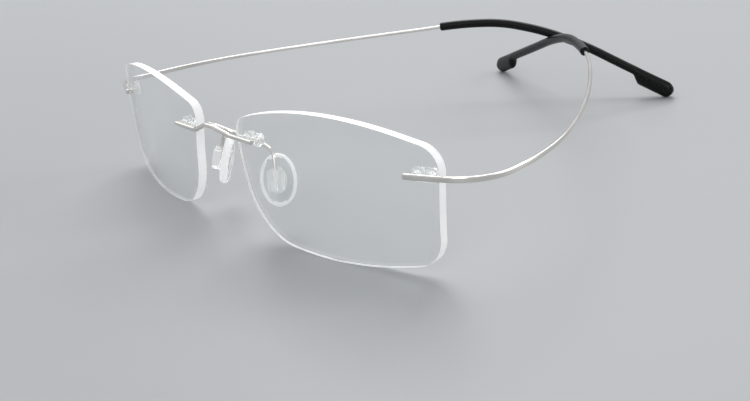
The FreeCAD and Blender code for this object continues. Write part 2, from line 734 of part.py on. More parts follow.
def make_end_piece(side):
    """Strip on the lens front that wraps round the edge and ends in a round seat."""
    tip, corner, flex = strip_points(side)
    edges = bent_path([tip, corner, flex], [size("strip_bend")])
    section = strip_section(tip, (corner - tip).normalize(), size("strip_height"),
                            size("strip_thickness"), size("strip_round"))
    sweep = Part.BRepOffsetAPI.MakePipeShell(Part.Wire(edges))
    sweep.setBiNormalMode(Vector(0, 0, 1))
    sweep.add(section)
    sweep.build()
    sweep.makeSolid()
    seat_radius = size("knuckle_diameter") / 2 + size("knuckle_clearance")
    tall = size("strip_height") * THROUGH
    seat = Part.makeCylinder(seat_radius, tall, flex - Vector(0, 0, tall / 2))
    strip = sweep.shape().cut([seat, pin_sockets(outer_site(side), "seat_gap")])
    name = SIDES[side]
    keep("%s_end_piece" % name, shape_feature("%s_end_piece_shape" % name, strip))


def make_temple(side):
    """Strip that tapers to a round wire, with the round knuckle at the flex point."""
    name = SIDES[side]
    edges = temple_path(side)[0]
    flat_count = 2 * TAPER_RUNS + 1
    flat_edges = edges[:flat_count]
    round_edges = edges[flat_count:-1]
    last = edges[-1]
    tail_end = last.Vertexes[-1].Point
    tail_start = last.Vertexes[0].Point
    core_end = tail_end - (tail_end - tail_start).normalize() * size("core_short")
    round_edges = round_edges + [Part.makeLine(tail_start, core_end)]
    start = edges[0].Vertexes[0].Point
    start_direction = edges[0].tangentAt(edges[0].FirstParameter)
    join = round_edges[0].Vertexes[0].Point
    join_direction = round_edges[0].tangentAt(round_edges[0].FirstParameter)
    wire_radius = size("wire_diameter") / 2
    sweep = Part.BRepOffsetAPI.MakePipeShell(Part.Wire(flat_edges))
    sweep.setBiNormalMode(Vector(0, 0, 1))
    sweep.add(strip_section(start, start_direction, size("strip_height"),
                            size("strip_thickness"), size("strip_round")))
    sweep.add(strip_section(join, join_direction, size("wire_diameter"),
                            size("wire_diameter"), wire_radius * NEARLY_ROUND))
    sweep.build()
    sweep.makeSolid()
    strip = sweep.shape()
    wire = tube(round_edges, size("wire_diameter"))
    knuckle_height = size("strip_height")
    knuckle = Part.makeCylinder(size("knuckle_diameter") / 2, knuckle_height,
                                start - Vector(0, 0, knuckle_height / 2))
    temple = strip.fuse([wire, knuckle])
    keep("%s_temple" % name, shape_feature("%s_temple_shape" % name, temple))


def make_sleeve(side):
    """Soft tube over the rear of the wire, with a flattened paddle at its end."""
    name = SIDES[side]
    edges, sleeve_edge = temple_path(side)
    sleeve_edges = edges[sleeve_edge:]
    outer = tube(sleeve_edges, size("sleeve_diameter"))
    last = sleeve_edges[-1]
    tail_end = last.Vertexes[-1].Point
    direction = (tail_end - last.Vertexes[0].Point).normalize()
    across = direction.cross(Vector(0, 0, 1)).normalize()
    up = across.cross(direction)
    width = size("paddle_width") / 2
    thickness = size("paddle_thickness")
    tip = tail_end - up * paddle_drop()
    front = tip - direction * size("paddle_length")
    round_end = Part.Arc(tip - up * width, tip + direction * width,
                         tip + up * width).toShape()
    throat = front + up * (width - size("sleeve_diameter"))
    full = front + direction * size("paddle_neck") - up * width
    outline = Part.Wire([
        Part.makeLine(throat, full), Part.makeLine(full, tip - up * width), round_end,
        Part.makeLine(tip + up * width, front + up * width),
        Part.makeLine(front + up * width, throat)])
    outline.translate(across * -thickness / 2)
    paddle = Part.Face(outline).extrude(across * thickness)
    rim = [edge for edge in paddle.Edges
           if abs(edge.tangentAt(edge.FirstParameter).dot(across)) < 0.5]
    paddle = paddle.makeFillet(size("paddle_edge"), rim)
    core_end = tail_end - direction * size("core_short")
    core_edges = list(sleeve_edges[:-1])
    core_edges.append(Part.makeLine(last.Vertexes[0].Point, core_end))
    core = tube(core_edges, size("wire_diameter") + 2 * size("sleeve_fit"))
    sleeve = outer.fuse(paddle).removeSplitter().cut(core)
    keep("%s_temple_sleeve" % name, shape_feature("%s_temple_sleeve_shape" % name, sleeve))


# ---------------------------------------------------------------- assembly

for side, name in SIDES.items():
    make_lens(side)
    make_bushing("%s_nasal_bushing" % name, nasal_site(side), NASAL_TUBE)
    make_bushing("%s_outer_bushing" % name, outer_site(side), OUTER_TUBE)
    make_pins("%s_end_pins" % name, [outer_site(side)], "seat_gap")
    make_pad_arm(side)
    make_nose_pad(side)
    make_end_piece(side)
    make_temple(side)
    make_sleeve(side)
make_bridge()
make_pins("bridge_pins", [nasal_site(1), nasal_site(-1)], "bar_gap")
doc.recompute()

for item in doc.Objects:
    if "Invalid" in item.State or "Error" in item.State:
        raise ValueError("%s did not build: %s" % (item.Name, item.State))
box = FreeCAD.BoundBox()
for node, feature in parts.items():
    shape = feature.Shape
    if shape.isNull() or not shape.isValid():
        raise ValueError("%s has no valid shape" % node)
    if shape.Volume <= 0:
        raise ValueError("%s has no volume" % node)
    box.add(shape.BoundBox)
    print("%-22s %2d solids %9.3f mm3" % (node, len(shape.Solids), shape.Volume))
print("box", box)

os.makedirs("parts", exist_ok=True)
for node, feature in parts.items():
    feature.Shape.exportStep("parts/%s.step" % node)
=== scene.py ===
"""Rimless, hingeless eyeglasses: drilled clear lenses, a bright bridge bar, clear double
bushings, crystal nose pads and springy one-piece temples with soft black sleeves."""
import logging
import math
from dataclasses import dataclass, field
from enum import Enum
from typing import Any, Iterable, Optional

import bpy
from mathutils import Matrix, Vector


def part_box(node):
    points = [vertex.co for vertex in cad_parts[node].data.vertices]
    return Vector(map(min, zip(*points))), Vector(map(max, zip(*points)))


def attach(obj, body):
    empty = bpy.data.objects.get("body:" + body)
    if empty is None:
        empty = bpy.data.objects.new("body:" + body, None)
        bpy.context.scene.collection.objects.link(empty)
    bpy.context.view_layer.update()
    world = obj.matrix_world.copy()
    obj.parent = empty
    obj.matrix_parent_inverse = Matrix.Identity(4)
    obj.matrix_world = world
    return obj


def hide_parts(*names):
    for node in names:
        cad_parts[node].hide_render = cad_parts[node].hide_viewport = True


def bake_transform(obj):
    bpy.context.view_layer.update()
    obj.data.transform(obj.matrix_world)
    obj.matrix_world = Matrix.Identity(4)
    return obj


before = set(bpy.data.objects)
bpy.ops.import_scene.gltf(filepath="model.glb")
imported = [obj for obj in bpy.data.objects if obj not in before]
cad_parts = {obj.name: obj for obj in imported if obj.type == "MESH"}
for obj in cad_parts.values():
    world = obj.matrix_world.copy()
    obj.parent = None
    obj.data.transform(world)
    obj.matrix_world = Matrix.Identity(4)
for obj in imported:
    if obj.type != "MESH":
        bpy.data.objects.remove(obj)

logging.basicConfig(level=logging.INFO, format="%(message)s")
log = logging.getLogger("eyeglasses")

Spot = tuple[float, float, float]
Values = dict[str, Any]

MM = 0.001
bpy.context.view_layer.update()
STRAIGHT = 1e-4         # a turn smaller than this, in radians, counts as none
CURVE_STEPS = 20        # steps between two knots of a path
END_STEPS = 4           # steps of a bar's rounded end
WELD = 0.0005           # points of a copied solid closer than this, in millimetres, merge
BEVEL_FROM = 40.0       # edges of a copied solid sharper than this, in degrees, are rounded
BRIGHTEST = 255         # largest value of a colour channel


# ---------------------------------------------------------------- sides and colours

class Side(Enum):
    """The wearer's two sides."""

    LEFT = 1
    RIGHT = -1

    @property
    def label(self) -> str:
        """Name of the side in piece and node names."""
        return self.name.lower()

    @property
    def sign(self) -> int:
        """+1 towards the wearer's left, -1 towards the right."""
        return self.value


def linear(colour: str) -> tuple[float, float, float, float]:
    """Turn an sRGB hex colour into the linear RGBA that shaders read.

    Args:
        colour: six hex digits with a leading hash.

    Returns:
        Linear red, green and blue with an alpha of 1.
    """
    channels = [int(colour[i:i + 2], 16) / BRIGHTEST for i in (1, 3, 5)]
    line = [c / 12.92 if c <= 0.04045 else ((c + 0.055) / 1.055) ** 2.4 for c in channels]
    return (line[0], line[1], line[2], 1.0)


# ---------------------------------------------------------------- editing by hand

class Crease(Enum):
    """Angle in degrees from which an edge stays sharp, by kind of piece."""

    GROUND = 24.0
    MOULDED = 40.0
    DRAWN = 50.0
    ROUNDED = 55.0
    MELTED = 60.0


def pick(piece: bpy.types.Object) -> None:
    """Deselect everything, then select one piece and make it active.

    Args:
        piece: the piece to work on.
    """
    bpy.ops.object.select_all(action="DESELECT")
    piece.select_set(True)
    bpy.context.view_layer.objects.active = piece


def finish_modifier(piece: bpy.types.Object, kind: str, **settings: Any) -> None:
    """Add a modifier with its settings and apply it.

    Args:
        piece: the mesh piece.
        kind: Blender's name of the modifier type.
        settings: values of the modifier's properties.
    """
    pick(piece)
    modifier = piece.modifiers.new(kind.title(), kind)
    for name, value in settings.items():
        setattr(modifier, name, value)
    bpy.ops.object.modifier_apply(modifier=modifier.name)


def settle(piece: bpy.types.Object, crease: Crease) -> None:
    """Shrink a piece drawn in millimetres to metres, turn its faces outwards and smooth it.

    Args:
        piece: the mesh piece, drawn with one unit for one millimetre.
        crease: which edges stay sharp.
    """
    pick(piece)
    bpy.ops.object.transform_apply(location=True, rotation=True, scale=True)
    bpy.ops.object.mode_set(mode="EDIT")
    bpy.ops.mesh.select_all(action="SELECT")
    bpy.ops.mesh.normals_make_consistent(inside=False)
    bpy.ops.object.mode_set(mode="OBJECT")
    piece.scale = (MM, MM, MM)
    bpy.ops.object.transform_apply(location=False, rotation=False, scale=True)
    bpy.ops.object.shade_smooth_by_angle(angle=math.radians(crease.value))


def place(piece: bpy.types.Object, name: str, body: str, slot: str, *nodes: str) -> None:
    """Name a finished piece, let it ride on its body and stand for its CAD nodes.

    Args:
        piece: the finished piece.
        name: its name in the scene.
        body: the CAD body that it rides on, or nothing for a piece that spans two bodies and
            is left unattached.
        slot: the record's material slot; not used.
        nodes: the CAD nodes that it replaces.
    """
    piece.name = name
    piece.data.name = name
    if body:
        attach(piece, body)
    if nodes:
        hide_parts(*nodes)
    log.info("%s: %d faces on %s", name, len(piece.data.polygons), body or "two bodies")


# ---------------------------------------------------------------- materials

# Colour of the painted white glow given to the lens rims, the pad rims and the clear
# plastic.
PAINTED_GLOW_WHITE = (1.0, 1.0, 1.0, 1.0)
SCATTER = (MM, MM, MM)      # light spreads about a millimetre inside milky resin
DRAWN_OUT = 0.04            # drawing lines are this much denser round a wire than along it
PATCH = 9.0                 # size in millimetres of the slow change between the two tints
PATCH_STOPS = (0.35, 0.65)  # where that change begins and ends in its noise
GLOSS_STOPS = (0.3, 0.7)    # where the roughness begins and ends in the fine noise
BUMP = 0.6
FINE_DETAIL = 3.0
PATCH_DETAIL = 2.0


def add_node(tree: bpy.types.NodeTree, kind: str, settings: Optional[Values] = None,
             inputs: Optional[Values] = None,
             links: Optional[Values] = None) -> bpy.types.Node:
    """Add a shader node with its settings, input values and incoming links.

    Args:
        tree: the material's or the world's node tree.
        kind: Blender's type name of the node.
        settings: values of the node's own properties.
        inputs: values of its input sockets, by name.
        links: output sockets that feed its input sockets, by name.

    Returns:
        The new node.
    """
    node = tree.nodes.new(kind)
    for name, value in (settings or {}).items():
        setattr(node, name, value)
    for name, value in (inputs or {}).items():
        node.inputs[name].default_value = value
    for name, output in (links or {}).items():
        tree.links.new(output, node.inputs[name])
    return node


def set_ramp(node: bpy.types.Node, stops: Iterable[tuple[float, str]]) -> None:
    """Give a colour ramp its stops.

    Args:
        node: the ramp node.
        stops: position and hex colour of each stop, in order.
    """
    elements = node.color_ramp.elements
    while len(elements) > 1:
        elements.remove(elements[-1])
    for index, (position, colour) in enumerate(stops):
        element = elements[0] if index == 0 else elements.new(position)
        element.position = position
        element.color = linear(colour)


@dataclass(frozen=True)
class Finish:
    """What every finish shares: a Principled surface with fine procedural detail."""

    name: str
    colour: str
    worn: str
    roughness: tuple[float, float]
    grain: float
    grain_depth: float
    shader: Values = field(default_factory=dict)
    along: bool = False

    def material(self) -> bpy.types.Material:
        """Build the material once and hand out the same one afterwards."""
        found = bpy.data.materials.get(self.name)
        return found or self.build()

    def build(self) -> bpy.types.Material:
        """Build the node tree.

        Returns:
            The finished material.
        """
        material = bpy.data.materials.new(self.name)
        material.use_nodes = True
        tree = material.node_tree
        surface = tree.nodes["Principled BSDF"]
        for name, value in self.shader.items():
            surface.inputs[name].default_value = value
        place_node = add_node(tree, "ShaderNodeTexCoord")
        if self.along:
            scale = add_node(tree, "ShaderNodeMapping",
                             inputs={"Scale": (DRAWN_OUT, 1.0, 1.0)},
                             links={"Vector": place_node.outputs["UV"]})
            where = scale.outputs["Vector"]
            density = 1 / self.grain
        else:
            where = place_node.outputs["Object"]
            density = 1 / (self.grain * MM)
        fine = add_node(tree, "ShaderNodeTexNoise",
                        inputs={"Scale": density, "Detail": FINE_DETAIL},
                        links={"Vector": where})
        broad = add_node(tree, "ShaderNodeTexNoise",
                         inputs={"Scale": 1 / (PATCH * MM), "Detail": PATCH_DETAIL},
                         links={"Vector": place_node.outputs["Object"]})
        tint = add_node(tree, "ShaderNodeValToRGB", links={"Fac": broad.outputs["Fac"]})
        set_ramp(tint, zip(PATCH_STOPS, (self.worn, self.colour)))
        tree.links.new(tint.outputs["Color"], surface.inputs["Base Color"])
        gloss = add_node(tree, "ShaderNodeMapRange",
                         inputs={"From Min": GLOSS_STOPS[0], "From Max": GLOSS_STOPS[1],
                                 "To Min": self.roughness[0], "To Max": self.roughness[1]},
                         links={"Value": fine.outputs["Fac"]})
        tree.links.new(gloss.outputs["Result"], surface.inputs["Roughness"])
        bump = add_node(tree, "ShaderNodeBump",
                        inputs={"Strength": BUMP, "Distance": self.grain_depth * MM},
                        links={"Height": fine.outputs["Fac"]})
        tree.links.new(bump.outputs["Normal"], surface.inputs["Normal"])
        return material

    def dress(self, piece: bpy.types.Object) -> None:
        """Give the whole piece this finish."""
        piece.data.materials.clear()
        piece.data.materials.append(self.material())


# Beta titanium wire, drawn and then polished: bright, faintly warm, with drawing lines
# along the wire. Real lines are about 0.02 mm apart; they are drawn coarser to show.
TITANIUM = Finish(
    name="polished_beta_titanium", colour="#EFECE8", worn="#E2DFDA",
    roughness=(0.10, 0.20), grain=0.15, grain_depth=0.004, along=True,
    shader={"Metallic": 1.0})

# The same titanium on the pins and other parts with no path of their own: turned, with an
# even satin.
SATIN_TITANIUM = Finish(
    name="satin_beta_titanium", colour="#E3E0DB", worn="#D2CEC8",
    roughness=(0.18, 0.30), grain=0.12, grain_depth=0.003,
    shader={"Metallic": 1.0})

# CR-39 ophthalmic resin, cast and hard-coated: water-clear, index 1.50, with the faintest
# smears of handling in its gloss.
LENS_RESIN = Finish(
    name="cast_cr39_resin", colour="#FDFEFE", worn="#FAFCFC",
    roughness=(0.0, 0.012), grain=2.5, grain_depth=0.0002,
    shader={"Transmission Weight": 1.0, "IOR": 1.5, "Coat Weight": 0.3,
            "Coat Roughness": 0.02, "Coat IOR": 1.47})

# The ground and buffed rim of the same resin: milky, with a painted white glow so that it
# shows white.
GROUND_RIM_PAINTED_GLOW = Finish(
    name="ground_cr39_rim_painted_glow", colour="#FDFDFC", worn="#F6F8F8",
    roughness=(0.30, 0.42), grain=0.25, grain_depth=0.006,
    shader={"IOR": 1.5, "Subsurface Weight": 0.4,
            "Subsurface Radius": SCATTER,
            "Emission Color": PAINTED_GLOW_WHITE, "Emission Strength": 0.3})

# Polycarbonate, injection moulded and tumbled: clear and glossy, index 1.58, with a faint
# painted white glow.
POLYCARBONATE_PAINTED_GLOW = Finish(
    name="moulded_polycarbonate", colour="#FCFDFD", worn="#F4F7F7",
    roughness=(0.02, 0.06), grain=0.6, grain_depth=0.003,
    shader={"Transmission Weight": 0.88, "IOR": 1.58,
            "Emission Color": PAINTED_GLOW_WHITE, "Emission Strength": 0.08})

# Medical silicone, compression moulded: clear with a slight haze and a soft gloss.
SILICONE = Finish(
    name="moulded_clear_silicone", colour="#FAFCFC", worn="#EEF2F2",
    roughness=(0.06, 0.14), grain=0.5, grain_depth=0.004,
    shader={"Transmission Weight": 0.9, "IOR": 1.43})

# The pad's thick rounded rim of the same silicone: its cloudiness adds up, and a painted
# white glow helps it show white.
SILICONE_RIM_PAINTED_GLOW = Finish(
    name="thick_silicone_rim_painted_glow", colour="#FBFCFC", worn="#F4F7F7",
    roughness=(0.10, 0.18), grain=0.5, grain_depth=0.004,
    shader={"Transmission Weight": 0.12, "IOR": 1.43, "Subsurface Weight": 0.4,
            "Subsurface Radius": SCATTER,
            "Emission Color": PAINTED_GLOW_WHITE, "Emission Strength": 0.3})

# Thermoplastic rubber, injection moulded with a soft-touch skin: black and even, with a
# fine grain, a low satin gloss and a grey bloom where light grazes it.
RUBBER = Finish(
    name="soft_touch_rubber", colour="#060707", worn="#0B0C0C",
    roughness=(0.24, 0.32), grain=0.22, grain_depth=0.003,
    shader={"Sheen Weight": 0.02, "Sheen Roughness": 0.35,
            "Sheen Tint": (0.75, 0.76, 0.78, 1.0), "Specular IOR Level": 0.2})


# ---------------------------------------------------------------- bars and their routes

@dataclass(frozen=True)
class Ring:
    """One section of a straight bar: where it is, its size and how round it is."""

    along: float
    tall: float
    wide: float
    rise: float = 0.0
    roundness: float = 0.0


@dataclass
class Route:
    """Path of a wire, in millimetres: straight runs whose corners are rounded."""

    points: list[Vector]
    radii: list[float]
    marks: list[float] = field(default_factory=list)
    length: float = 0.0

    def knots(self) -> list[tuple[Vector, Vector, Vector]]:
        """Work out the Bezier knots of the path and the distance to each route point.

        Returns:
            For each knot its left handle, its place and its right handle.
        """
        knots = [[self.points[0], self.points[0], self.points[0]]]
        self.marks = [0.0]
        self.length = 0.0

        def run_to(spot: Vector) -> None:
            """Add a straight run up to a new knot.

            Args:
                spot: where the run ends.
            """
            start = knots[-1][1]
            third = (spot - start) / 3
            knots[-1][2] = start + third
            knots.append([spot - third, spot, spot])
            self.length += (spot - start).length

        corners = zip(self.points, self.points[1:], self.points[2:], self.radii)
        for before, corner, after, radius in corners:
            toward = (before - corner).normalized()
            away = (after - corner).normalized()
            half = toward.angle(away) / 2
            if radius == 0 or math.pi / 2 - half < STRAIGHT:
                run_to(corner)
                self.marks.append(self.length)
                continue
            reach = radius / math.tan(half)
            turn = math.pi - 2 * half
            handle = 4 / 3 * math.tan(turn / 4) * radius
            run_to(corner + toward * reach)
            knots[-1][2] = knots[-1][1] - toward * handle
            last = corner + away * reach
            knots.append([last - away * handle, last, last])
            self.marks.append(self.length + radius * turn / 2)
            self.length += radius * turn
        run_to(self.points[-1])
        self.marks.append(self.length)
        return [tuple(knot) for knot in knots]

    def curve(self) -> bpy.types.Object:
        """Draw the path as a Bezier curve that keeps its up side up.

        Returns:
            The curve object.
        """
        knots = self.knots()
        bpy.ops.object.select_all(action="DESELECT")
        bpy.ops.curve.primitive_bezier_curve_add()
        path = bpy.context.object
        path.data.dimensions = "3D"
        path.data.twist_mode = "Z_UP"
        path.data.resolution_u = CURVE_STEPS
        spline = path.data.splines[0]
        spline.bezier_points.add(len(knots) - len(spline.bezier_points))
        for point, (left, centre, right) in zip(spline.bezier_points, knots):
            point.handle_left_type = "FREE"
            point.handle_right_type = "FREE"
            point.co = centre
            point.handle_left = left
            point.handle_right = right
        return path

    def bend(self, bar: bpy.types.Object) -> None:
        """Bend a straight bar along the path and drop the path afterwards.

        Args:
            bar: the bar, which lies along X.
        """
        path = self.curve()
        finish_modifier(bar, "CURVE", object=path, deform_axis="POS_X")
        bpy.data.objects.remove(path)


def easy_radii(points: list[Vector], share: float = 0.45) -> list[float]:
    """Largest comfortable bend at each inner point of a route.

    Args:
        points: the route.
        share: how much of the shorter run a bend may take.

    Returns:
        One radius for each inner point.
    """
    radii = []
    for before, corner, after in zip(points, points[1:], points[2:]):
        shorter = min((before - corner).length, (after - corner).length)
        turn = (corner - before).angle(after - corner)
        radii.append(share * shorter / math.tan(turn / 2) if turn > STRAIGHT else 0.0)
    return radii


def draw_bar(rings: list[Ring], corner: float = 0.0, facets: int = 24) -> bpy.types.Object:
    """Draw a straight bar along X, ring by ring, from a flat primitive.

    Args:
        rings: the sections in order; the first and the last close the bar.
        corner: rounding of a rectangular bar's edges, or 0 for a round bar.
        facets: vertices round the bar.

    Returns:
        The closed bar, with a UV map of distance along and way round.
    """
    bpy.ops.object.select_all(action="DESELECT")
    first = rings[0]
    if corner:
        bpy.ops.mesh.primitive_plane_add(size=1, rotation=(0, math.pi / 2, 0))
    else:
        bpy.ops.mesh.primitive_circle_add(vertices=facets, radius=0.5,
                                          rotation=(0, math.pi / 2, 0))
    bar = bpy.context.object
    bpy.ops.object.transform_apply(location=True, rotation=True, scale=True)
    bpy.ops.object.mode_set(mode="EDIT")
    bpy.ops.mesh.select_all(action="SELECT")
    drawn = max(rings, key=lambda ring: ring.tall) if corner else first
    bpy.ops.transform.resize(value=(1, drawn.wide, drawn.tall), center_override=(0, 0, 0))
    if corner:
        bpy.ops.mesh.delete(type="ONLY_FACE")
        bpy.ops.mesh.select_all(action="SELECT")
        bpy.ops.mesh.bevel(affect="VERTICES", offset=corner, offset_type="OFFSET",
                           segments=facets // 4 - 1)
        bpy.ops.mesh.select_all(action="SELECT")
        bpy.ops.transform.resize(
            value=(1, first.wide / drawn.wide, first.tall / drawn.tall),
            center_override=(0, 0, 0))
    bpy.ops.transform.translate(value=(first.along, 0, first.rise))
    previous = first
    for ring in rings[1:]:
        step = (ring.along - previous.along, 0, ring.rise - previous.rise)
        bpy.ops.mesh.extrude_region_move(TRANSFORM_OT_translate={"value": step})
        centre = (ring.along, 0, ring.rise)
        bpy.ops.transform.resize(
            value=(1, ring.wide / previous.wide, ring.tall / previous.tall),
            center_override=centre)
        if ring.roundness > previous.roundness:
            share = (ring.roundness - previous.roundness) / (1 - previous.roundness)
            bpy.ops.transform.tosphere(value=share, center_override=centre)
        previous = ring
    bpy.ops.mesh.select_all(action="DESELECT")
    bpy.ops.mesh.select_mode(type="EDGE")
    bpy.ops.mesh.select_non_manifold(extend=False)
    bpy.ops.mesh.fill_holes(sides=0)
    bpy.ops.mesh.select_mode(type="VERT")
    bpy.ops.object.mode_set(mode="OBJECT")
    wrap_uv(bar)
    return bar


def wrap_uv(bar: bpy.types.Object) -> None:
    """Give a straight bar a UV map: millimetres along it and the angle round it.

    Args:
        bar: the bar, which lies along X.
    """
    layer = bar.data.uv_layers.new(name="drawn")
    for face in bar.data.polygons:
        turns = []
        for index in face.loop_indices:
            co = bar.data.vertices[bar.data.loops[index].vertex_index].co
            turns.append(math.atan2(co.z, co.y))
        wraps = max(turns) - min(turns) > math.pi
        for index, turn in zip(face.loop_indices, turns):
            co = bar.data.vertices[bar.data.loops[index].vertex_index].co
            angle = turn + 2 * math.pi if wraps and turn < 0 else turn
            layer.data[index].uv = (co.x, angle)


def spaced(start: float, end: float, step: float) -> list[float]:
    """Evenly spaced distances from start up to end, both kept.

    Args:
        start: the first distance.
        end: the last distance.
        step: the largest gap between neighbours.

    Returns:
        The distances.
    """
    count = max(1, math.ceil((end - start) / step))
    return [start + (end - start) * i / count for i in range(count + 1)]


def domed(start: float, end: float, tall: float, wide: float, edge: float,
          step: float) -> list[Ring]:
    """Rings of a plain round bar whose two ends are rounded off.

    Args:
        start: where the bar begins.
        end: where it ends.
        tall: its height.
        wide: its width.
        edge: rounding of its ends.
        step: distance between its rings.

    Returns:
        The rings, from the start to the end.
    """
    turns = [math.pi / 2 * i / END_STEPS for i in range(END_STEPS)]
    first, last = start + edge, end - edge

    def cap(base: float, way: int, turn: float) -> Ring:
        """Work out one ring of a rounded end.

        Args:
            base: where the rounding meets the straight bar.
            way: -1 at the bar's start and 1 at its end.
            turn: angle of the ring on the rounding.

        Returns:
            The ring.
        """
        less = 2 * edge * (1 - math.sin(turn))
        return Ring(base + way * edge * math.cos(turn), tall - less, wide - less)

    rings = [cap(first, -1, turn) for turn in turns]
    rings.extend(Ring(along, tall, wide) for along in spaced(first, last, step))
    rings.extend(cap(last, 1, turn) for turn in reversed(turns))
    return rings


# ---------------------------------------------------------------- pieces cut from solids

def softened(node: str, edge: float, segments: int) -> bpy.types.Object:
    """Copy a CAD solid, merge it and round its sharp edges.

    Args:
        node: the CAD node to copy.
        edge: rounding of the edges, in millimetres.
        segments: steps of the rounding.

    Returns:
        The copy, still drawn in millimetres.
    """
    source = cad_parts[node]
    copy = bpy.data.objects.new(node + "_copy", source.data.copy())
    bpy.context.scene.collection.objects.link(copy)
    copy.data.transform(Matrix.Scale(1 / MM, 4))
    pick(copy)
    bpy.ops.object.mode_set(mode="EDIT")
    bpy.ops.mesh.select_all(action="SELECT")
    bpy.ops.mesh.remove_doubles(threshold=WELD)
    bpy.ops.mesh.normals_make_consistent(inside=False)
    bpy.ops.mesh.customdata_custom_splitnormals_clear()
    bpy.ops.object.mode_set(mode="OBJECT")
    copy.data.shade_smooth()
    finish_modifier(copy, "BEVEL", width=edge, segments=segments,
                    limit_method="ANGLE", angle_limit=math.radians(BEVEL_FROM),
                    use_clamp_overlap=True)
    return copy


# ---------------------------------------------------------------- the front

@dataclass
class Lenses:
    """The pair of drilled lenses.

    A face counts as polished where it looks along the lens's axis closely enough, and the
    rest of the rim is ground.
    """

    rim_chamfer: float = 0.14
    chamfer_steps: int = 1
    polished: float = 0.88
    backward: float = 0.5

    def build(self, side: Side) -> bpy.types.Object:
        """Make one lens: its two polished faces and its ground rim.

        Args:
            side: which lens.

        Returns:
            The finished lens.
        """
        node = f"{side.label}_lens"
        lens = softened(node, self.rim_chamfer, self.chamfer_steps)
        settle(lens, Crease.GROUND)
        lens.data.materials.clear()
        lens.data.materials.append(LENS_RESIN.material())
        # The second material is the ground rim's, with its painted white glow.
        lens.data.materials.append(GROUND_RIM_PAINTED_GLOW.material())
        facing = self.facing(lens)
        for face in lens.data.polygons:
            if abs(face.normal.dot(facing)) < self.polished:
                face.material_index = 1
        place(lens, f"{side.label}_lens_clear", "front", "lens", node)
        return lens

    def facing(self, lens: bpy.types.Object) -> Vector:
        """Average direction of the lens's back surface.

        Args:
            lens: the lens.

        Returns:
            The unit direction in which the back surface faces.
        """
        total = Vector((0, 0, 0))
        for face in lens.data.polygons:
            if face.normal.y > self.backward:
                total += face.normal * face.area
        return total.normalized()


@dataclass
class Bridge:
    """The bridge bar and the pad arms that are brazed behind it.

    Sizes are in millimetres. The bends are the arm's inner corners, as shares of its span
    across, back and down.
    """

    bar: float = 1.05
    bar_edge: float = 0.14
    bar_step: float = 0.5
    ends: tuple[Spot, Spot] = ((-15.494, -54.270, 20.753), (15.474, -54.164, 21.776))
    feet: tuple[Spot, Spot] = ((-6.8, -54.300, 20.730), (6.8, -54.194, 21.753))
    middle: Vector = field(default_factory=lambda: Vector((-0.01, -54.747, 22.941)))
    shoulder: float = 1.3
    bend: float = 6.0
    arm: float = 0.75
    arm_edge: float = 0.12
    arm_step: float = 0.4
    arm_facets: int = 20
    arm_start: float = 0.3
    braze: float = 1.2
    gap: float = 0.02
    arm_bend: float = 5.6
    bends: tuple[Spot, Spot] = ((0.40, 0.19, 0.21), (0.54, 0.94, 0.77))
    bead_tall: float = 0.62
    bead_wide: float = 0.5
    bead_edge: float = 0.24
    bead_step: float = 0.2
    bead_facets: int = 16

    def build_bar(self) -> bpy.types.Object:
        """Bend the round bar over the nose.

        Returns:
            The bridge bar.
        """
        tops = [Vector((sign * self.shoulder, self.middle.y, self.middle.z))
                for sign in (-1, 1)]
        right_end, left_end = map(Vector, self.ends)
        right_foot, left_foot = map(Vector, self.feet)
        route = Route([right_end, right_foot, *tops, left_foot, left_end],
                      [self.bend] * 4)
        route.knots()
        bar = draw_bar(domed(0, route.length, self.bar, self.bar, self.bar_edge,
                             self.bar_step))
        route.bend(bar)
        settle(bar, Crease.DRAWN)
        TITANIUM.dress(bar)
        place(bar, "bridge_bar_polished", "front", "titanium", "bridge_bar")
        return bar

    def build_arm(self, side: Side, pad: "NosePad") -> bpy.types.Object:
        """Bend one pad arm from the bar down into the pad's clip.

        Args:
            side: which arm.
            pad: the pad that it carries.

        Returns:
            The pad arm.
        """
        stand = pad.placement(side)
        top = stand @ Vector((0, -pad.rod_depth, pad.rod_above))
        bottom = stand @ Vector((0, -pad.rod_depth, -pad.rod_below))
        behind = (self.bar + self.arm) / 2 + self.gap
        root = self.middle + Vector((side.sign * self.arm_start, behind, 0))
        braze_end = root + Vector((side.sign * self.braze, 0, 0))
        span = top - braze_end
        points = [root, braze_end]
        for across, back, down in self.bends:
            points.append(braze_end + Vector((span.x * across, span.y * back,
                                              span.z * down)))
        points.extend([top, bottom])
        radii = [min(radius, self.arm_bend) for radius in easy_radii(points)]
        route = Route(points, radii)
        route.knots()
        arm = draw_bar(domed(0, route.length, self.arm, self.arm, self.arm_edge,
                             self.arm_step), facets=self.arm_facets)
        route.bend(arm)
        settle(arm, Crease.DRAWN)
        TITANIUM.dress(arm)
        place(arm, f"{side.label}_pad_wire", "front", "titanium",
              f"{side.label}_pad_arm")
        return arm

    def build_braze(self, side: Side) -> bpy.types.Object:
        """Make the bead of braze between the bar and the root of a pad arm.

        Args:
            side: which arm's root.

        Returns:
            The bead.
        """
        bead = draw_bar(domed(0, self.braze, self.bead_tall, self.bead_wide,
                              self.bead_edge, self.bead_step), facets=self.bead_facets)
        settle(bead, Crease.MELTED)
        half = self.bar / 2
        spot = self.middle + Vector((side.sign * (self.arm_start + self.braze / 2), half, 0))
        bead.data.transform(Matrix.Translation(
            (spot - Vector((self.braze / 2, 0, 0))) * MM))
        SATIN_TITANIUM.dress(bead)
        place(bead, f"{side.label}_braze_bead", "front", "titanium")
        return bead


